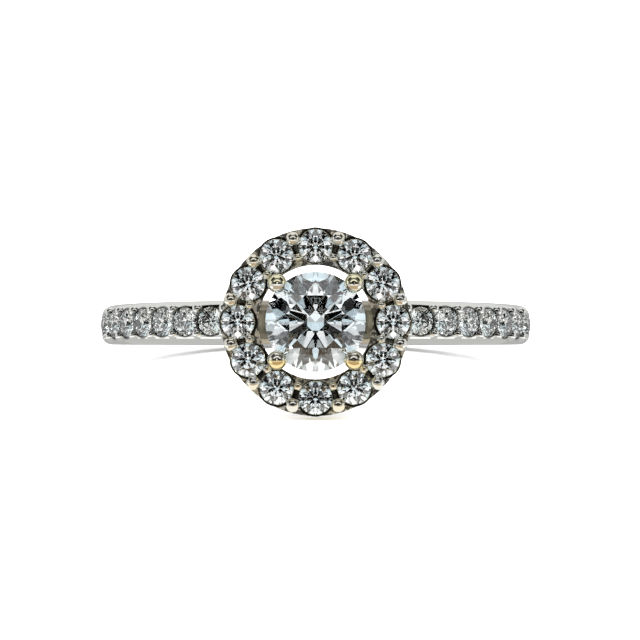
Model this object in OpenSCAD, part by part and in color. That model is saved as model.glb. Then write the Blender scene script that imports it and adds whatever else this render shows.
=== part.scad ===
// Halo ring: one round centre stone in four prongs, a round halo of small stones in shared
// beads, and a row of small stones down each shoulder of a tapering shank.
// It lies on its side on the ground, on the halo's edge and the back of the shank.
// The ring is drawn upright, with the head up along +Z and the finger along Y, and is then laid down.
// Lengths are in millimetres, angles in degrees.

/* [Shank] */
// Inside diameter of the finger hole
finger_d = 17.35; // [15.7:0.05:19.8]
// Thickness of the shank under the head
shank_head_t = 1.9; // [1.6:0.05:2.3]
// Thickness of the shank at the back
shank_back_t = 1.6; // [1.3:0.05:2]
// Width of the shank under the head
shank_head_w = 2.16; // [2:0.02:2.5]
// Width of the shank at the back
shank_back_w = 1.6; // [1.4:0.05:1.9]
// Radius of the rounded outer edges of the shank
shank_edge_r = 0.5; // [0.3:0.05:0.6]
// Chamfer along the two edges of the finger hole
hole_chamfer = 0.15; // [0.05:0.01:0.25]
// Least flat metal left beside a rounded edge
shank_land = 0.1; // [0.05:0.01:0.2]

/* [Centre stone and its basket] */
// Diameter of the centre stone
center_stone_d = 4.7; // [4.2:0.1:5.4]
// Gap between the shank and the point of the centre stone
culet_gap = 0.2; // [0.1:0.05:0.5]
// Diameter of the upright part of a prong
prong_d = 0.66; // [0.5:0.02:0.8]
// Diameter of the round tip of a prong
prong_tip_d = 0.92; // [0.7:0.02:1]
// How far a prong tip reaches in over the edge of the centre stone
prong_reach = 0.28; // [0.1:0.02:0.36]
// Height of the middle of a prong tip above the girdle of the centre stone
prong_tip_rise = 0.22; // [0.1:0.02:0.4]
// Diameter of the slanted wires of the basket
basket_wire_d = 0.54; // [0.4:0.02:0.64]
// Radius of the ring that the basket stands on, to the middle of its wire
basket_foot_r = 0.84; // [0.6:0.02:1]
// Diameter of the wire of that foot ring
foot_wire_d = 0.62; // [0.5:0.02:0.8]
// Diameter of the wire of the basket's rail
rail_wire_d = 0.4; // [0.3:0.02:0.5]
// Height of the rail's middle above the shank
rail_rise = 0.85; // [0.6:0.05:1.1]
// How deep the slanted wires start below the middle of the foot ring
wire_root = 0.12; // [0.08:0.01:0.2]
// How much wider than a prong the knuckle is where a wire turns into it
knuckle_extra = 0.06; // [0.02:0.01:0.1]
// Turn of the centre stone in its prongs
center_turn = 22.5; // [0:0.5:45]

/* [Halo] */
// Diameter of a halo stone
halo_stone_d = 1.55; // [1.3:0.05:1.8]
// Least gap between two halo stones, for their shared beads
halo_stone_gap = 0.25; // [0.2:0.01:0.4]
// Open gap between the centre stone and the halo
halo_gap = 0.33; // [0.2:0.01:0.5]
// Metal left round a halo stone
halo_lip = 0.07; // [0.05:0.01:0.15]
// How much farther the halo reaches sideways than along the finger, halved
halo_stretch = 0.04; // [0:0.01:0.1]
// How far the halo stones sit below the girdle of the centre stone
halo_drop = 0.45; // [0.2:0.05:0.7]
// Thickness of the halo's tray
halo_tray_t = 1.1; // [0.9:0.05:1.3]
// How far the web between the stones reaches out past the middles of the outer beads
halo_web_reach = 0.35; // [0.1:0.01:0.4]
// How far the web lies below the rims round the stones
halo_web_drop = 0.15; // [0.1:0.01:0.25]
// Diameter of the beads on the outside of the halo
halo_outer_bead_d = 0.7; // [0.6:0.02:0.8]
// Diameter of the beads on the inside of the halo
halo_inner_bead_d = 0.48; // [0.4:0.02:0.6]
// How far a bead of the halo reaches in over the edge of its stones
halo_bead_grip = 0.03; // [0.02:0.005:0.06]
// Diameter of the columns that carry the outer beads
halo_column_d = 0.56; // [0.4:0.02:0.6]
// Diameter of the light hole under each halo stone
halo_light_hole_d = 0.6; // [0.4:0.05:0.8]

/* [Shoulders] */
// Number of stones down each shoulder
shoulder_count = 7; // [4:1:8]
// Diameter of a shoulder stone
shoulder_stone_d = 1.35; // [1.1:0.05:1.5]
// Gap between two shoulder stones
shoulder_stone_gap = 0.1; // [0.06:0.01:0.25]
// Sideways distance from the halo's outline to the middle of the first shoulder stone
shoulder_start = 0.45; // [0.2:0.05:1]
// Diameter of the beads along the shoulders
shoulder_bead_d = 0.54; // [0.46:0.02:0.6]
// Distance from the middle of the row to the middle of a bead
shoulder_bead_out = 0.58; // [0.5:0.01:0.62]
// How far the row lies off the middle of the shank next to the halo
shoulder_row_lift = 0.09; // [0:0.01:0.12]
// How much deeper than the others the last two beads of a row sit
shoulder_end_sink = 0.18; // [0.1:0.01:0.22]

/* [Cut of the stones] */
// Width of the table, as a share of the diameter
table_share = 0.56; // [0.52:0.01:0.62]
// Angle of the crown
crown_angle = 34.5; // [32:0.5:36]
// Angle of the pavilion
pavilion_angle = 40.8; // [40:0.1:42]
// Length of the star facets, as a share of the crown
star_share = 0.5; // [0.45:0.01:0.6]
// Length of the lower half facets, as a share of the pavilion
lower_share = 0.78; // [0.7:0.01:0.85]
// Thickness of the girdle, as a share of the diameter
girdle_share = 0.03; // [0.02:0.005:0.04]
// Clearance between a stone and its seat
seat_gap = 0.03; // [0.02:0.005:0.05]
// Height of a seat's wall above the girdle of its stone
seat_wall = 0.05; // [0.04:0.005:0.08]

/* [Hidden] */
$fn = 48;
// Cutting shapes run on this far past what they cut, and halves reach this far past their middle
run_past = 0.5;
// Least distance of a bead from the line between its two stones, however small the bead is set
bead_least_out = 0.1;

// Shank: the outside is a disc, set off centre, so the back comes out thinner than the head
finger_r = finger_d / 2;
shank_head_r = finger_r + shank_head_t;
shank_back_r = finger_r + shank_back_t;
shank_r = (shank_head_r + shank_back_r) / 2;
shank_offset = (shank_head_r - shank_back_r) / 2;
taper_angle = atan((shank_head_w - shank_back_w) / 2 / (2 * shank_r));
shank_mid_half_w = (shank_head_w + shank_back_w) / 4 * cos(taper_angle);
edge_r = min(shank_edge_r, shank_back_w / 2 - shank_land, shank_back_t - hole_chamfer - shank_land);

// Centre stone: its point hangs just above the shank
center_girdle_h = shank_head_r + culet_gap + stone_depth(center_stone_d);
prong_axis_r = center_stone_d / 2 + prong_tip_d / 2 - prong_reach;
rail_h = shank_head_r + rail_rise;

// Halo: the tray's opening clears the centre stone, and its stones sit in a ring round that
halo_open_r = center_stone_d / 2 + halo_gap;
halo_cup_r = halo_stone_d / 2 + seat_gap + halo_lip;
halo_pitch_r = halo_open_r + halo_cup_r + halo_stretch;
halo_count = floor(180 / asin((halo_stone_d + halo_stone_gap) / 2 / halo_pitch_r));
halo_step = 360 / halo_count;
halo_girdle_h = center_girdle_h - halo_drop;
halo_top_h = halo_girdle_h + girdle_share * halo_stone_d / 2;
halo_bottom_h = halo_top_h - halo_tray_t;
halo_low_reach = halo_pitch_r - halo_stretch + halo_cup_r;
halo_side_reach = halo_pitch_r + halo_stretch + halo_cup_r;
// A bead's middle is as far from both its stones, with its edge just over theirs
halo_bead_half = halo_pitch_r * sin(halo_step / 2);
halo_bead_mid = halo_pitch_r * cos(halo_step / 2);
halo_outer_bead_r = halo_bead_mid + bead_out(halo_outer_bead_d);
halo_inner_bead_r = halo_bead_mid - bead_out(halo_inner_bead_d);
halo_web_r = halo_outer_bead_r + halo_web_reach;

// Shoulder stones: they follow the outside of the shank, girdle level with the metal
shoulder_r = shank_r - girdle_share * shoulder_stone_d;
shoulder_step = 2 * asin((shoulder_stone_d + shoulder_stone_gap) / 2 / shoulder_r);
shoulder_first = asin((halo_side_reach + shoulder_start) / shoulder_r);

// Lying pose: the rim of the halo and the rounded back edge of the shank touch the ground
rest_rise = halo_low_reach - (shank_back_w / 2 - edge_r);
rest_span = halo_bottom_h + shank_back_r - edge_r;
rest_tilt = atan2(rest_rise, rest_span) - asin(edge_r / norm([rest_rise, rest_span]));
rest_h = halo_low_reach * cos(rest_tilt) - halo_bottom_h * sin(rest_tilt);
table_r = center_stone_d * table_share / 2;
front_reach = table_h() * cos(rest_tilt) + table_r * sin(rest_tilt);
back_reach = (shank_back_r - edge_r) * cos(rest_tilt) + edge_r;
rest_y = (front_reach - back_reach) / 2;

function stone_crown_h(d) = d / 2 * (1 - table_share) * tan(crown_angle);
function stone_half_girdle(d) = girdle_share * d / 2;
function stone_depth(d) = d / 2 * tan(pavilion_angle) + stone_half_girdle(d);
function table_h() = center_girdle_h + stone_half_girdle(center_stone_d) + stone_crown_h(center_stone_d);
function bead_reach(d) = halo_stone_d / 2 - halo_bead_grip + d / 2;
function bead_out(d) = sqrt(max(pow(bead_least_out, 2), pow(bead_reach(d), 2) - pow(halo_bead_half, 2)));

// Place on the halo at an angle: the halo is slightly longer sideways than along the finger
function halo_place(angle, r) = [(r + halo_stretch) * cos(angle), (r - halo_stretch) * sin(angle)];

function two_digits(number) = number < 10 ? str("0", number) : str(number);
function halo_name(i) = str("halo_stone_", two_digits(i + 1));
function shoulder_name(side, i) = str(side < 0 ? "left" : "right", "_shoulder_stone_", i + 1);

HALO_STONES = [for (i = [0 : halo_count - 1]) halo_name(i)];
SHOULDER_STONES = [for (side = [-1, 1]) for (i = [0 : shoulder_count - 1]) shoulder_name(side, i)];

// Brilliant cut, girdle on the XY plane and table up.
// Eight mains meet the girdle at every 45 degrees, and the half facets meet it between them.
function on_circle(r, angle, z) = [r * cos(angle), r * sin(angle), z];
function height_on_plane(a, b, c, p) =
    let (n = cross(b - a, c - a)) a[2] - (n[0] * (p[0] - a[0]) + n[1] * (p[1] - a[1])) / n[2];
function dropped_on_plane(a, b, c, p) = [p[0], p[1], height_on_plane(a, b, c, p)];

module brilliant(d) {
    r = d / 2;
    half_girdle = stone_half_girdle(d);
    crown_top = half_girdle + stone_crown_h(d);
    culet = -stone_depth(d);
    eighth = 45;
    sixteenth = eighth / 2;
    table_corner_r = r * table_share;
    star_r = table_corner_r * cos(sixteenth) * (1 - star_share) + r * star_share;
    star_h = half_girdle + stone_crown_h(d) * (r - star_r * cos(sixteenth)) / (r - table_corner_r);
    lower_r = r * (1 - lower_share);
    lower_h = culet + lower_r * cos(sixteenth) * tan(pavilion_angle);

    table = [for (k = [0 : 7]) on_circle(table_corner_r, k * eighth, crown_top)];
    stars = [for (k = [0 : 7]) on_circle(star_r, (k + 0.5) * eighth, star_h)];
    lowers = [for (k = [0 : 7]) on_circle(lower_r, (k + 0.5) * eighth, lower_h)];
    // The girdle has 32 points: the even ones are the facets' corners, the odd ones lie between
    upper_rim = [for (j = [0 : 31])
        let (
            p = on_circle(r, j * eighth / 4, half_girdle),
            before = on_circle(r, floor(j / 2) * sixteenth, half_girdle),
            after = on_circle(r, (floor(j / 2) + 1) * sixteenth, half_girdle)
        )
        j % 2 == 0 ? p : dropped_on_plane(stars[floor(j / 4)], before, after, p)];
    lower_rim = [for (j = [0 : 31])
        let (
            p = on_circle(r, j * eighth / 4, -half_girdle),
            before = on_circle(r, floor(j / 2) * sixteenth, -half_girdle),
            after = on_circle(r, (floor(j / 2) + 1) * sixteenth, -half_girdle)
        )
        j % 2 == 0 ? p : dropped_on_plane(lowers[floor(j / 4)], before, after, p)];

    first_star = 8;
    first_lower = 16;
    first_up = 24;
    first_down = 56;
    point = 88;
    points = concat(table, stars, lowers, upper_rim, lower_rim, [[0, 0, culet]]);
    faces = concat(
        [[for (k = [7 : -1 : 0]) k]],
        [for (k = [0 : 7]) [k, (k + 1) % 8, first_star + k]],
        [for (k = [0 : 7]) [k, first_star + k, first_up + 4 * k, first_star + (k + 7) % 8]],
        [for (k = [0 : 15])
            [first_star + floor(k / 2), first_up + (2 * k + 2) % 32, first_up + 2 * k + 1, first_up + 2 * k]],
        [for (j = [0 : 31])
            [first_up + j, first_up + (j + 1) % 32, first_down + (j + 1) % 32, first_down + j]],
        [for (k = [0 : 15])
            [first_lower + floor(k / 2), first_down + 2 * k, first_down + 2 * k + 1, first_down + (2 * k + 2) % 32]],
        [for (k = [0 : 7]) [point, first_lower + (k + 7) % 8, first_down + 4 * k, first_lower + k]]
    );
    polyhedron(points = points, faces = faces, convexity = 2);
}

// Room that a stone takes in the metal: pavilion below, an upright wall past the girdle, crown above
module stone_room(d) {
    r = d / 2 + seat_gap;
    wall_foot = -stone_half_girdle(d) - seat_gap / 2;
    wall_top = stone_half_girdle(d) + seat_wall;
    rotate_extrude()
        polygon([
            [0, wall_foot - r * tan(pavilion_angle)],
            [r, wall_foot],
            [r, wall_top],
            [0, wall_top + r * tan(crown_angle)]
        ]);
}

module at_halo(i) {
    place = halo_place(i * halo_step, halo_pitch_r);
    translate([place[0], place[1], halo_girdle_h]) rotate([0, 0, i * halo_step]) children();
}

module at_center() {
    translate([0, 0, center_girdle_h]) rotate([0, 0, center_turn]) children();
}

// The row runs beside the middle of the shank next to the halo and joins it at the last stone
module at_shoulder(side, place) {
    lift = shoulder_row_lift * (1 - place / (shoulder_count - 1));
    translate([0, 0, shank_offset])
        rotate([0, side * (shoulder_first + place * shoulder_step), 0])
            translate([0, lift, shoulder_r])
                children();
}

// One side of the shank, from its middle out to the flat side face, leaning so that it tapers
module shank_half() {
    size = 4 * shank_r;
    intersection() {
        rotate([-90 - taper_angle, 0, 0])
            difference() {
                translate([0, -shank_offset, 0])
                    rotate_extrude($fn = 128)
                        shank_profile();
                translate([0, 0, shank_mid_half_w - hole_chamfer - run_past])
                    cylinder(
                        h = 2 * run_past + hole_chamfer,
                        r1 = finger_r - run_past,
                        r2 = finger_r + hole_chamfer + run_past,
                        $fn = 128
                    );
            }
        translate([-size / 2, 0, -size / 2]) cube([size, size, size]);
    }
}

module shank_profile() {
    translate([0, -run_past]) square([shank_r - edge_r, shank_mid_half_w + run_past]);
    translate([0, -run_past]) square([shank_r, shank_mid_half_w - edge_r + run_past]);
    translate([shank_r - edge_r, shank_mid_half_w - edge_r]) circle(r = edge_r);
}

module shank() {
    shank_half();
    mirror([0, 1, 0]) shank_half();
}

module finger_hole() {
    rotate([90, 0, 0]) cylinder(h = 4 * shank_head_w, r = finger_r, center = true, $fn = 128);
}

module shoulder_beads() {
    for (side = [-1, 1])
        for (i = [0 : shoulder_count])
            for (edge = [-1, 1])
                at_shoulder(side, i - 0.5)
                    translate([0, edge * shoulder_bead_out, i == shoulder_count ? -shoulder_end_sink : 0])
                        sphere(d = shoulder_bead_d);
}

// Tray of the halo: a flat web with a cup round each stone and a column under each outer bead
module halo_tray() {
    difference() {
        union() {
            translate([0, 0, halo_bottom_h])
                cylinder(h = halo_tray_t - halo_web_drop, r = halo_web_r, $fn = 96);
            for (i = [0 : halo_count - 1]) {
                cup = halo_place(i * halo_step, halo_pitch_r);
                column = halo_place((i + 0.5) * halo_step, halo_outer_bead_r);
                translate([cup[0], cup[1], halo_bottom_h]) cylinder(h = halo_tray_t, r = halo_cup_r);
                translate([column[0], column[1], halo_bottom_h])
                    cylinder(h = halo_tray_t, d = halo_column_d);
            }
        }
        translate([0, 0, halo_bottom_h - run_past])
            cylinder(h = halo_tray_t + 2 * run_past, r = halo_open_r, $fn = 96);
        for (i = [0 : halo_count - 1])
            at_halo(i)
                translate([0, 0, -halo_tray_t - run_past])
                    cylinder(h = halo_tray_t + run_past, d = halo_light_hole_d, $fn = 24);
    }
}

module halo_beads() {
    for (i = [0 : halo_count - 1]) {
        outer = halo_place((i + 0.5) * halo_step, halo_outer_bead_r);
        inner = halo_place((i + 0.5) * halo_step, halo_inner_bead_r);
        translate([outer[0], outer[1], halo_top_h]) sphere(d = halo_outer_bead_d);
        translate([inner[0], inner[1], halo_top_h]) sphere(d = halo_inner_bead_d);
    }
}

// Wire from one point to another, both at the same angle round the head
module wire(from_r, from_h, to_r, to_h, d) {
    run = to_r - from_r;
    rise = to_h - from_h;
    translate([from_r, 0, from_h]) rotate([0, atan2(run, rise), 0]) cylinder(h = norm([run, rise]), d = d);
}

module wire_ring(r, h, d) {
    translate([0, 0, h]) rotate_extrude($fn = 64) translate([r, 0]) circle(d = d, $fn = 24);
}

// Basket: a ring foot on the shank, a rail, and four wires that rise into the prongs
module basket() {
    foot_h = shank_head_r;
    knuckle_h = halo_bottom_h + halo_tray_t / 2;
    knuckle_d = prong_d + knuckle_extra;
    tip_h = center_girdle_h + prong_tip_rise;
    rail_share = (rail_h - foot_h) / (knuckle_h - foot_h);
    wire_ring(basket_foot_r, foot_h, foot_wire_d);
    wire_ring(basket_foot_r + (prong_axis_r - basket_foot_r) * rail_share, rail_h, rail_wire_d);
    for (turn = [45 : 90 : 315])
        rotate([0, 0, turn]) {
            wire(basket_foot_r, foot_h - wire_root, prong_axis_r, knuckle_h, basket_wire_d);
            translate([prong_axis_r, 0, knuckle_h]) sphere(d = knuckle_d);
            translate([prong_axis_r, 0, knuckle_h]) cylinder(h = tip_h - knuckle_h, d = prong_d);
            translate([prong_axis_r, 0, tip_h]) sphere(d = prong_tip_d);
        }
}

// The ring lies on its side, its head lifted a little and turned to the front
module lying() {
    translate([0, rest_y, rest_h]) rotate([90 - rest_tilt, 0, 0]) children();
}

module set_shank() {
    difference() {
        union() {
            shank();
            shoulder_beads();
        }
        finger_hole();
        for (side = [-1, 1])
            for (i = [0 : shoulder_count - 1])
                at_shoulder(side, i) stone_room(shoulder_stone_d);
    }
}

module set_halo() {
    difference() {
        union() {
            halo_tray();
            halo_beads();
        }
        for (i = [0 : halo_count - 1]) at_halo(i) stone_room(halo_stone_d);
    }
}

module set_basket() {
    difference() {
        basket();
        at_center() stone_room(center_stone_d);
    }
}

// All the metal is soldered into one solid
module ring_mount() {
    color("gainsboro")
        lying() {
            set_shank();
            set_halo();
            set_basket();
        }
}

module center_stone() {
    color("aliceblue") lying() at_center() brilliant(center_stone_d);
}

module halo_stone(i) {
    color("lightcyan") lying() at_halo(i) brilliant(halo_stone_d);
}

module shoulder_stone(side, i) {
    color("azure") lying() at_shoulder(side, i) brilliant(shoulder_stone_d);
}

ring_mount();
center_stone();
for (i = [0 : halo_count - 1])
    halo_stone(i);
for (side = [-1, 1])
    for (i = [0 : shoulder_count - 1])
        shoulder_stone(side, i);
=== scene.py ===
"""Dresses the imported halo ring: materials, floor, light and the camera."""
import math

import bpy
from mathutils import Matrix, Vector

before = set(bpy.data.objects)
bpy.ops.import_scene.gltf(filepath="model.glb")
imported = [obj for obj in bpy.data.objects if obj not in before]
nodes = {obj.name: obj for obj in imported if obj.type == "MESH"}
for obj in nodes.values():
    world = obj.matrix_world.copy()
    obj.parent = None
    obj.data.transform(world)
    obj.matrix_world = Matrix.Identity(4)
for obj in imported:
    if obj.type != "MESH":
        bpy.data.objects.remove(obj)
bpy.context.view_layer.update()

# The lying pose, as in the part's source: its tilt, and where the finger hole's middle comes to lie
TILT = math.radians(9.73218)
REST_Y = 0.00177337
REST_H = 0.00244808

# Where the stones stand on the upright ring, as in the part's source
HALO_H = 0.012424
HALO_PITCH = 0.003595
HALO_STEP = math.radians(30)
HALO_STONE_R = 0.000775
SHOULDER_R = 0.0104048
SHANK_OFFSET = 0.00015
SHOULDER_FIRST = math.radians(28.531)
SHOULDER_STEP = math.radians(8.007)
SHOULDER_LIFT = 0.00009
SHOULDER_COUNT = 7
SHOULDER_STONE_R = 0.000675

# Bands on the metal of the upright ring: from and to, in metres, and how soft their edges are
TRAY_HEIGHT = (0.0121, 0.0125)
WEB_HEIGHT = (0.0121, 0.01235)
TRAY_SOFT = 0.00002
# Painted shade goes on the web's pits within this reach, and inside the basket within its height
PIT_REACH = (0.00305, 0.0038)
PIT_SOFT = 0.00015
BASKET_HEIGHT = (0.0088, 0.0116)
BASKET_SOFT = 0.0002

# Edges on it: where a mark starts, and where it is full
# Painted shade: a dark line in the gap round each halo and shoulder stone, full at the second distance
# from its middle
HALO_GAP_SHADE = (HALO_STONE_R + 0.00014, HALO_STONE_R + 0.00007)
SHOULDER_GAP_SHADE = (SHOULDER_STONE_R + 0.00012, SHOULDER_STONE_R + 0.00006)
SHOULDER_REACH = (0.0046, 0.0047)
SHANK_OUTSIDE = (0.0099, 0.0100)
BASKET_REACH = (0.0034, 0.0029)
TIP_HEIGHT = (0.0126, 0.0128)
TIP_REACH = (0.0034, 0.0031)
TIP_OUTER_SIDE = (0.00172, 0.00184)
LOW_TO_HIGH_PRONGS = (-0.001, 0.001)
HEAD_HEIGHT = (0.0108, 0.0118)

# The same for how far a surface faces up, and for the value of a noise
FLAT = (0.9, 0.97)
BASKET_TOP = (0.3, 0.6)
WORN = (0.35, 0.62)
SPECKLED = (0.46, 0.54)

# Colours of the metal and of its painted shade, and how strong the dark marks are
NEUTRAL = (0.82, 0.83, 0.80)
WARM = (0.84, 0.80, 0.68)
PALE_GOLD = (0.88, 0.84, 0.60)
GOLD = (0.90, 0.77, 0.46)
# Painted shade inside the basket, under the halo
BASKET_PAINTED_SHADE = (0.42, 0.39, 0.33)
# Near-black for painted shade in the stone gaps and the web's pits, and for the tray's dark speckles
SHADE_AND_SPECKLE_DARK = (0.02, 0.02, 0.018)
SPECKLE_SHARE = 0.8
PIT_SHADE_SHARE = 0.8
SHOULDER_GAP_SHADE_SHARE = 0.7

# Noise on the metal: its bumps to a metre, its detail and its roughness
WEAR_NOISE = (900.0, 4.0, 0.5)
SPECKLE_NOISE = (4200.0, 2.0, 0.6)
SMEAR_NOISE = (2500.0, 4.0, 0.6)
GRAIN_NOISE = (7000.0, 2.0, 0.5)

# The metal's shine, and how deep its smears and grain are
POLISHED = (0.06, 0.16)
TRAY_ROUGHNESS = 0.3
SMEAR_DEPTH = 0.06
GRAIN_DEPTH = 4.0
BUMP_DISTANCE = 0.00002

# Refraction and tint of the stones
DIAMOND_IOR = 2.417
CENTER_TINT = (0.95, 0.985, 1.0)
HALO_TINT = (0.98, 0.985, 0.98)
SHOULDER_TINT = (0.98, 0.985, 0.95)

# The camera: the photo's angle, and how far the halo's middle lies from the middle of the frame
CAMERA_ELEVATION = math.radians(8.9)
CAMERA_DISTANCE = 0.28
CAMERA_LENS = 337.0
CAMERA_SENSOR = 36.0
CAMERA_NEAREST = 0.01
CAMERA_FARTHEST = 20.0
AIM_RIGHT = 0.00021
AIM_UP = 0.00009

# The floor lies just under the ring, and the cards on it a little higher
FLOOR_SIZE = 6.0
FLOOR_Z = -0.00003
FLOOR_CARD_Z = -0.00002
FLOOR_COLOR = (0.93, 0.93, 0.93)
FLOOR_ROUGHNESS = 0.9

# The tent that metal and stones mirror, the dark behind it, and the widest step of turn in a card
TENT_R = 0.3
DARK_R = 0.6
CARD_STEP = 7.5
BLACK = (0.0, 0.0, 0.0)
WHITE = (1.0, 1.0, 1.0)
BLUE_SKY = (0.8, 0.94, 1.0)
PALE_SKY = (0.92, 0.98, 1.0)
WARM_GLOW = (1.0, 0.82, 0.62)
CREAM = (1.0, 0.96, 0.88)

# The light on the floor
LIGHT_PLACE = (0.05, -0.1, 0.6)
LIGHT_SIZE = 0.8
LIGHT_POWER = 2.0
SKY_STRENGTH = 2.0

# How often light may bounce, as it meets many facets before it leaves a stone
STONE_BOUNCES = 24
METAL_BOUNCES = 12


def upright_to_row(x, along, up):
    """A point of the upright ring, head up and finger along the second axis, in the row frame."""
    y = REST_Y + along * math.sin(TILT) - up * math.cos(TILT)
    z = REST_H + along * math.cos(TILT) + up * math.sin(TILT)
    return Vector((x, y, z))


class Shader:
    """A node material with short helpers for adding and joining nodes."""

    def __init__(self, name):
        self.material = bpy.data.materials.new(name)
        self.material.use_nodes = True
        self.tree = self.material.node_tree
        self.bsdf = self.tree.nodes["Principled BSDF"]

    def node(self, kind, **settings):
        made = self.tree.nodes.new(kind)
        for key, value in settings.items():
            setattr(made, key, value)
        return made

    def join(self, source, target):
        self.tree.links.new(source, target)

    def math(self, operation, *values):
        made = self.node("ShaderNodeMath", operation=operation)
        for socket, value in zip(made.inputs, values):
            if isinstance(value, (int, float)):
                socket.default_value = value
            else:
                self.join(value, socket)
        return made.outputs[0]

    def times(self, *values):
        """All the values multiplied together."""
        product = values[0]
        for value in values[1:]:
            product = self.math("MULTIPLY", product, value)
        return product

    def length(self, first, second):
        """Length of the hypotenuse."""
        return self.math("SQRT", self.math("ADD", self.times(first, first), self.times(second, second)))

    def ramp(self, source, low, high):
        """0 below low, 1 above high, and smooth between."""
        made = self.node("ShaderNodeMapRange", interpolation_type="SMOOTHSTEP")
        self.join(source, made.inputs["Value"])
        made.inputs["From Min"].default_value = low
        made.inputs["From Max"].default_value = high
        return made.outputs["Result"]

    def band(self, source, low, high, soft):
        """1 between low and high, and 0 outside."""
        return self.times(self.ramp(source, low - soft, low), self.ramp(source, high + soft, high))

    def noise(self, vector, scale, detail, roughness):
        made = self.node("ShaderNodeTexNoise")
        made.inputs["Scale"].default_value = scale
        made.inputs["Detail"].default_value = detail
        made.inputs["Roughness"].default_value = roughness
        self.join(vector, made.inputs["Vector"])
        return made.outputs["Fac"]

    def mix_color(self, factor, first, second):
        made = self.node("ShaderNodeMix", data_type="RGBA")
        self.join(factor, made.inputs[0])
        for socket, value in ((made.inputs[6], first), (made.inputs[7], second)):
            if isinstance(value, tuple):
                socket.default_value = (*value, 1.0)
            else:
                self.join(value, socket)
        return made.outputs[2]


def upright_place(shader):
    """A point's place on the upright ring: across, along the finger, up, and the vector of all three."""
    place = shader.node("ShaderNodeTexCoord").outputs["Object"]
    turned = shader.node("ShaderNodeMapping", vector_type="TEXTURE")
    shader.join(place, turned.inputs["Vector"])
    turned.inputs["Location"].default_value = (0.0, REST_Y, REST_H)
    turned.inputs["Rotation"].default_value = (math.pi / 2 - TILT, 0.0, 0.0)
    parts = shader.node("ShaderNodeSeparateXYZ")
    shader.join(turned.outputs["Vector"], parts.inputs[0])
    return (*parts.outputs, turned.outputs["Vector"])


def facing_up(shader):
    """How far the surface faces up on the upright ring, 1 where it does."""
    made = shader.node("ShaderNodeVectorMath", operation="DOT_PRODUCT")
    shader.join(shader.node("ShaderNodeTexCoord").outputs["Normal"], made.inputs[0])
    made.inputs[1].default_value = (0.0, -math.cos(TILT), math.sin(TILT))
    return made.outputs["Value"]


def from_halo_stone(shader, across, along, reach):
    """Distance from the middle of the nearest halo stone, looking down on the head."""
    turn = shader.math("PINGPONG", shader.math("ARCTAN2", along, across), HALO_STEP / 2)
    beside = shader.times(reach, shader.math("SINE", turn))
    out = shader.math("SUBTRACT", shader.times(reach, shader.math("COSINE", turn)), HALO_PITCH)
    return shader.length(beside, out)


def from_shoulder_stone(shader, across, along, up):
    """Distance from the middle of the nearest shoulder stone, measured round the shank."""
    last = SHOULDER_COUNT - 1.0
    above = shader.math("SUBTRACT", up, SHANK_OFFSET)
    turn = shader.math("ARCTAN2", shader.math("ABSOLUTE", across), above)
    place = shader.math("DIVIDE", shader.math("SUBTRACT", turn, SHOULDER_FIRST), SHOULDER_STEP)
    number = shader.math("MINIMUM", shader.math("MAXIMUM", shader.math("ROUND", place), 0.0), last)
    beside = shader.times(shader.math("SUBTRACT", place, number), SHOULDER_STEP * SHOULDER_R)
    lift = shader.times(shader.math("SUBTRACT", 1.0, shader.math("DIVIDE", number, last)), SHOULDER_LIFT)
    return shader.length(beside, shader.math("SUBTRACT", along, lift))


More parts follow.
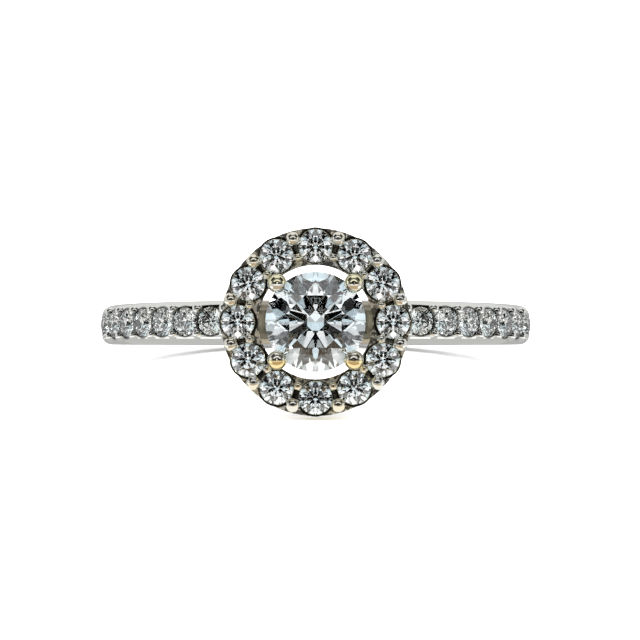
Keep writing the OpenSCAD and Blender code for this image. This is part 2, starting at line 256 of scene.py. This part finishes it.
def white_gold():
    """White gold: polished, satin where the tray was cut round its stones, yellow on the prong tips, with
    painted shade in the gaps round the stones, in the web's pits and inside the basket.
    """
    shader = Shader("white_gold")
    across, along, up, upright = upright_place(shader)
    upward = facing_up(shader)
    reach = shader.length(across, along)

    # The tray's top, painted shade in the pits of its web, and a painted shade line in the gap round each
    # stone of halo and shoulders
    flat = shader.ramp(upward, *FLAT)
    tray = shader.times(shader.band(up, *TRAY_HEIGHT, TRAY_SOFT), flat)
    web = shader.times(shader.band(up, *WEB_HEIGHT, TRAY_SOFT), flat)
    pit = shader.times(web, shader.band(reach, *PIT_REACH, PIT_SOFT))
    halo_gap_shade = shader.times(tray, shader.ramp(from_halo_stone(shader, across, along, reach), *HALO_GAP_SHADE))
    outside = shader.ramp(shader.length(across, up), *SHANK_OUTSIDE)
    near_shoulder_stone = shader.ramp(from_shoulder_stone(shader, across, along, up), *SHOULDER_GAP_SHADE)
    past_head = shader.ramp(reach, *SHOULDER_REACH)
    shoulder_gap_shade = shader.times(outside, near_shoulder_stone, past_head, SHOULDER_GAP_SHADE_SHARE)
    gap_shade = shader.math("MAXIMUM", halo_gap_shade, shoulder_gap_shade)
    painted_shade = shader.math("MAXIMUM", gap_shade, shader.times(pit, PIT_SHADE_SHARE))

    # Wear on the head, painted shade inside the basket, the prong tips, and speckles on the tray
    wear = shader.ramp(shader.noise(upright, *WEAR_NOISE), *WORN)
    worn = shader.times(shader.ramp(up, *HEAD_HEIGHT), wear)
    basket = shader.times(shader.ramp(reach, *BASKET_REACH), shader.band(up, *BASKET_HEIGHT, BASKET_SOFT))
    basket = shader.times(shader.ramp(upward, *BASKET_TOP), basket)
    tip = shader.times(shader.ramp(up, *TIP_HEIGHT), shader.ramp(reach, *TIP_REACH))
    tip_side = shader.times(tip, shader.ramp(shader.math("ABSOLUTE", along), *TIP_OUTER_SIDE))
    speckles = shader.ramp(shader.noise(upright, *SPECKLE_NOISE), *SPECKLED)

    color = shader.mix_color(worn, NEUTRAL, WARM)
    # Painted shade inside the basket
    color = shader.mix_color(basket, color, BASKET_PAINTED_SHADE)
    tip_color = shader.mix_color(shader.ramp(along, *LOW_TO_HIGH_PRONGS), GOLD, PALE_GOLD)
    color = shader.mix_color(tip_side, color, tip_color)
    color = shader.mix_color(shader.times(tray, speckles, SPECKLE_SHARE), color, SHADE_AND_SPECKLE_DARK)
    # Painted shade in the gaps round the stones and in the web's pits
    color = shader.mix_color(painted_shade, color, SHADE_AND_SPECKLE_DARK)
    shader.join(color, shader.bsdf.inputs["Base Color"])
    shader.bsdf.inputs["Metallic"].default_value = 1.0

    smears = shader.noise(upright, *SMEAR_NOISE)
    polish = shader.node("ShaderNodeMapRange")
    shader.join(smears, polish.inputs["Value"])
    polish.inputs["To Min"].default_value, polish.inputs["To Max"].default_value = POLISHED
    roughness = shader.math("ADD", polish.outputs["Result"], shader.times(tray, TRAY_ROUGHNESS))
    shader.join(roughness, shader.bsdf.inputs["Roughness"])

    grain = shader.noise(upright, *GRAIN_NOISE)
    bump = shader.node("ShaderNodeBump")
    bump.inputs["Strength"].default_value = 1.0
    bump.inputs["Distance"].default_value = BUMP_DISTANCE
    marks = shader.math("ADD", shader.times(smears, SMEAR_DEPTH), shader.times(tray, grain, GRAIN_DEPTH))
    shader.join(marks, bump.inputs["Height"])
    shader.join(bump.outputs["Normal"], shader.bsdf.inputs["Normal"])
    return shader.material


def diamond(name, tint):
    """Clear stone."""
    shader = Shader(name)
    shader.bsdf.inputs["Base Color"].default_value = (*tint, 1.0)
    shader.bsdf.inputs["Roughness"].default_value = 0.0
    shader.bsdf.inputs["IOR"].default_value = DIAMOND_IOR
    shader.bsdf.inputs["Transmission Weight"].default_value = 1.0
    return shader.material


def matt(name, color, roughness):
    """Paint with no shine."""
    shader = Shader(name)
    shader.bsdf.inputs["Base Color"].default_value = (*color, 1.0)
    shader.bsdf.inputs["Roughness"].default_value = roughness
    shader.bsdf.inputs["Specular IOR Level"].default_value = 0.0
    return shader.material


def glow(name, color, brightness):
    """A surface that glows and mirrors nothing."""
    shader = Shader(name)
    shader.bsdf.inputs["Base Color"].default_value = (*BLACK, 1.0)
    shader.bsdf.inputs["Specular IOR Level"].default_value = 0.0
    shader.bsdf.inputs["Emission Color"].default_value = (*color, 1.0)
    shader.bsdf.inputs["Emission Strength"].default_value = brightness
    return shader.material


def dress(node, material, smooth):
    """Gives a node its material, with smooth or flat facets."""
    node.data.materials.clear()
    node.data.materials.append(material)
    node.data.polygons.foreach_set("use_smooth", [smooth] * len(node.data.polygons))


def add(name, points, faces, material):
    """A mesh of the stage."""
    mesh = bpy.data.meshes.new(name)
    mesh.from_pydata(points, [], faces)
    mesh.materials.append(material)
    made = bpy.data.objects.new(name, mesh)
    bpy.context.scene.collection.objects.link(made)
    return made


def for_reflections(made, seen_by):
    """Stage that is seen in metal or through stones, or in both; it lights and shades nothing else."""
    made.visible_camera = False
    made.visible_diffuse = False
    made.visible_shadow = False
    made.visible_glossy = seen_by != "stones"
    made.visible_transmission = seen_by != "metal"


def on_tent(angle, turn):
    """A place on the tent: degrees off the line to the camera, and the turn round it from the right."""
    angle = math.radians(angle)
    aside = Vector((math.cos(turn), 0, 0)) + camera_up * math.sin(turn)
    return halo_middle + (to_camera * math.cos(angle) + aside * math.sin(angle)) * TENT_R


def on_floor(distance, turn):
    """A place on the tent's floor: the distance in millimetres, and the turn from straight in front."""
    distance = distance / 1000
    return Vector((distance * math.sin(turn), -distance * math.cos(turn), FLOOR_CARD_Z))


def cards(seen_by, rows):
    """Cards that metal or stones mirror, each with its mirror image on the other side.

    A row says its name, its place, its near and far edges, its range of turns, brightness and colour.
    """
    for name, place, near, far, (first, last), brightness, color in rows:
        name = f"{seen_by}_{name}"
        points, faces = [], []
        steps = max(2, math.ceil((last - first) / CARD_STEP))
        for side in (1, -1):
            for k in range(steps + 1):
                turn = math.radians(first + (last - first) * k / steps)
                for point in (place(near, turn), place(far, turn)):
                    points.append((side * point.x, point.y, point.z))
                if k:
                    count = len(points)
                    faces.append((count - 4, count - 3, count - 1, count - 2))
        for_reflections(add(name, points, faces, glow(name, color, brightness)), seen_by)


# The ring
metal = white_gold()
center_glass = diamond("center_diamond", CENTER_TINT)
halo_glass = diamond("halo_diamond", HALO_TINT)
shoulder_glass = diamond("shoulder_diamond", SHOULDER_TINT)

for name, node in nodes.items():
    if name == "ring_mount":
        dress(node, metal, True)
    elif name == "center_stone":
        dress(node, center_glass, False)
    elif name.startswith("halo_stone"):
        dress(node, halo_glass, False)
    else:
        dress(node, shoulder_glass, False)

# The floor is a pale sheet, wide enough to fill every view
half = FLOOR_SIZE / 2
corners = [(x, y, FLOOR_Z) for x, y in ((-half, -half), (half, -half), (half, half), (-half, half))]
add("floor", corners, [(0, 1, 2, 3)], matt("floor", FLOOR_COLOR, FLOOR_ROUGHNESS))

# Where the camera stands, seen from the halo
halo_middle = upright_to_row(0, 0, HALO_H)
to_camera = Vector((0, -math.cos(CAMERA_ELEVATION), math.sin(CAMERA_ELEVATION)))
camera_up = Vector((0, math.sin(CAMERA_ELEVATION), math.cos(CAMERA_ELEVATION)))

# Where there is no card, the tent is dark
bpy.ops.mesh.primitive_uv_sphere_add(segments=64, ring_count=32, radius=DARK_R)
dark = bpy.context.object
dark.name = "dark_room"
dark.data.materials.append(glow("dark_room", WHITE, 0.0))
for_reflections(dark, "both")

# Ranges of turns in degrees: on the tent from the right to overhead, and on its floor from front to back
TOP = (67.5, 90)
UPPER = (22.5, 67.5)
UPPER_AND_TOP = (22.5, 90)
SIDE = (-22.5, 22.5)
SIDE_TO_TOP = (-22.5, 90)
RIGHT_TO_TOP = (0, 90)
ABOVE_RIGHT = (30, 90)
FRONT = (0, 30)
ASIDE = (30, 60)
BESIDE = (60, 90)
ASIDE_AND_BESIDE = (30, 90)
FRONT_HALF = (0, 90)
BEHIND = (90, 180)

# The stones see an arch of light over the camera, the tent's cloth, and a floor lit in rings
cards("stones", (
    ("overhead", on_tent, 20, 35, TOP, 0.6, BLUE_SKY),
    ("arch_top", on_tent, 35, 58, TOP, 0.95, BLUE_SKY),
    ("arch_sides", on_tent, 35, 58, UPPER, 0.88, BLUE_SKY),
    ("arch_ends", on_tent, 46, 58, SIDE, 0.9, WHITE),
    ("cloth_top", on_tent, 70, 92, TOP, 0.65, BLUE_SKY),
    ("cloth_sides", on_tent, 70, 92, UPPER, 2.4, PALE_SKY),
    ("roof_top", on_tent, 92, 110, TOP, 2.2, BLUE_SKY),
    ("roof_sides", on_tent, 92, 110, UPPER, 0.7, WHITE),
    ("cloth_back", on_tent, 135, 180, SIDE, 3.4, WHITE),
    ("floor_under", on_floor, 0, 8, ASIDE, 3.4, WHITE),
    ("floor_dark_strip", on_floor, 0, 14, FRONT, 0.0, WHITE),
    ("floor_dark_end", on_floor, 0, 8, BESIDE, 0.0, WHITE),
    ("floor_aside", on_floor, 8, 14, ASIDE, 0.29, WHITE),
    ("floor_beside", on_floor, 8, 14, BESIDE, 0.64, WHITE),
    ("floor_strip", on_floor, 14, 20, FRONT, 1.2, PALE_SKY),
    ("floor_pools", on_floor, 14, 20, ASIDE_AND_BESIDE, 1.27, WHITE),
    ("floor_shade", on_floor, 20, 30, FRONT, 0.55, PALE_SKY),
    ("floor_rings", on_floor, 20, 30, ASIDE_AND_BESIDE, 0.7, WHITE),
    ("floor_far_strip", on_floor, 30, 45, FRONT, 0.71, WHITE),
    ("floor_far_aside", on_floor, 30, 45, ASIDE, 0.62, WHITE),
    ("floor_far_dark", on_floor, 30, 45, BESIDE, 0.0, WHITE),
    ("floor_front", on_floor, 45, 280, FRONT, 1.03, WHITE),
    ("floor_dark", on_floor, 45, 280, ASIDE_AND_BESIDE, 0.0, WHITE),
    ("floor_behind", on_floor, 0, 280, BEHIND, 0.03, WHITE),
))

# The metal sees a narrower arch, softer cloth all round, and grey between them
cards("metal", (
    ("shade", on_tent, 18, 35, ABOVE_RIGHT, 0.05, WHITE),
    ("arch_top", on_tent, 35, 46, TOP, 1.3, WHITE),
    ("arch_sides", on_tent, 35, 46, UPPER, 1.1, WHITE),
    ("grey", on_tent, 46, 70, RIGHT_TO_TOP, 0.15, WHITE),
    ("cloth_top", on_tent, 70, 92, TOP, 0.8, WHITE),
    ("cloth_sides", on_tent, 70, 92, SIDE, 0.85, WHITE),
    ("roof", on_tent, 92, 125, UPPER_AND_TOP, 0.72, WHITE),
    ("roof_back", on_tent, 125, 150, SIDE_TO_TOP, 0.7, WHITE),
    ("back", on_tent, 150, 180, SIDE_TO_TOP, 0.55, WHITE),
    ("sides", on_tent, 92, 125, SIDE, 0.6, WHITE),
    ("floor_under", on_floor, 0, 8, FRONT_HALF, 0.5, WHITE),
    ("floor_strip", on_floor, 8, 14, FRONT, 0.95, CREAM),
    ("floor_shade", on_floor, 14, 30, FRONT, 0.5, WARM_GLOW),
    ("floor_front", on_floor, 30, 280, FRONT, 0.95, WHITE),
    ("floor_aside", on_floor, 8, 14, ASIDE_AND_BESIDE, 0.54, WHITE),
    ("floor_pools", on_floor, 14, 20, ASIDE_AND_BESIDE, 1.2, WHITE),
    ("floor_sides", on_floor, 20, 280, ASIDE_AND_BESIDE, 0.6, WHITE),
    ("floor_back", on_floor, 0, 40, BEHIND, 0.45, WHITE),
    ("floor_far", on_floor, 40, 280, BEHIND, 0.6, WHITE),
))

# One soft light from above, and a white sky
light_data = bpy.data.lights.new("top_light", "AREA")
light_data.shape = "SQUARE"
light_data.size = LIGHT_SIZE
light_data.energy = LIGHT_POWER
light = bpy.data.objects.new("top_light", light_data)
light.location = LIGHT_PLACE
light.rotation_mode = "QUATERNION"
light.rotation_quaternion = Vector(LIGHT_PLACE).to_track_quat("Z", "Y")
bpy.context.scene.collection.objects.link(light)

world = bpy.data.worlds.new("studio")
world.use_nodes = True
world.node_tree.nodes["Background"].inputs["Color"].default_value = (*WHITE, 1.0)
world.node_tree.nodes["Background"].inputs["Strength"].default_value = SKY_STRENGTH
bpy.context.scene.world = world

camera_data = bpy.data.cameras.new("camera")
camera_data.lens = CAMERA_LENS
camera_data.sensor_width = CAMERA_SENSOR
camera_data.clip_start = CAMERA_NEAREST
camera_data.clip_end = CAMERA_FARTHEST
camera = bpy.data.objects.new("camera", camera_data)
aim = halo_middle + Vector((AIM_RIGHT, 0, 0)) + camera_up * AIM_UP
camera.location = aim + to_camera * CAMERA_DISTANCE
camera.rotation_mode = "QUATERNION"
camera.rotation_quaternion = to_camera.to_track_quat("Z", "Y")
bpy.context.scene.collection.objects.link(camera)
bpy.context.scene.camera = camera

scene = bpy.context.scene
scene.view_settings.view_transform = "Standard"
scene.view_settings.look = "Medium High Contrast"
scene.cycles.max_bounces = STONE_BOUNCES
scene.cycles.transmission_bounces = STONE_BOUNCES
scene.cycles.glossy_bounces = METAL_BOUNCES
